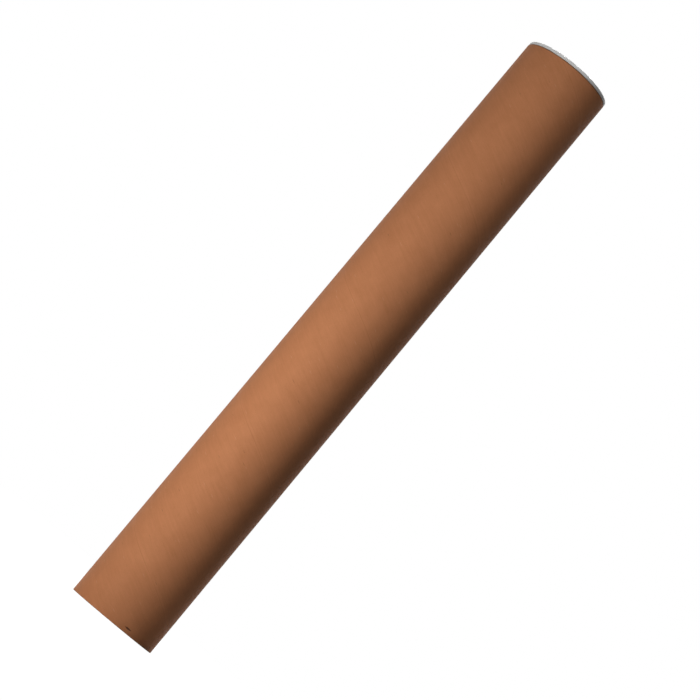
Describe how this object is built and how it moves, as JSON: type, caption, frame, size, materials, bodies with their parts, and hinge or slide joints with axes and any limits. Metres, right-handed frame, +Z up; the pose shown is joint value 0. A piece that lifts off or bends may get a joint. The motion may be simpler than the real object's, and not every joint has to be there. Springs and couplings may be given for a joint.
{
  "type": "cardboard mailing tube",
  "caption": "Long thin-walled kraft board mailing tube, spirally wound and plain brown, open at its lower cut edge and shut at the top by a white flanged plug cap that pulls straight out.",
  "frame": {"origin": "on the tube's axis, in the plane of the lower cut edge that the tube stands on", "axes": "+Z up along the tube's axis, from the open cut edge to the cap; X and Y are alike, and the nick near the open end faces 20 degrees from -Y towards +X"},
  "size_m": [0.083, 0.0828, 0.6031],
  "materials": {
    "kraft_board": "matt wound kraft board",
    "cap_plastic": "white polyethylene, fine satin mould finish"
  },
  "bodies": {
    "tube": {"tube": "kraft_board"},
    "cap": {"end_cap": "cap_plastic"}
  },
  "joints": [
    {"name": "cap_pull", "type": "slide", "parent": "tube", "child": "cap", "axis": [0, 0, 1], "range_m": [0, 0.05]}
  ]
}
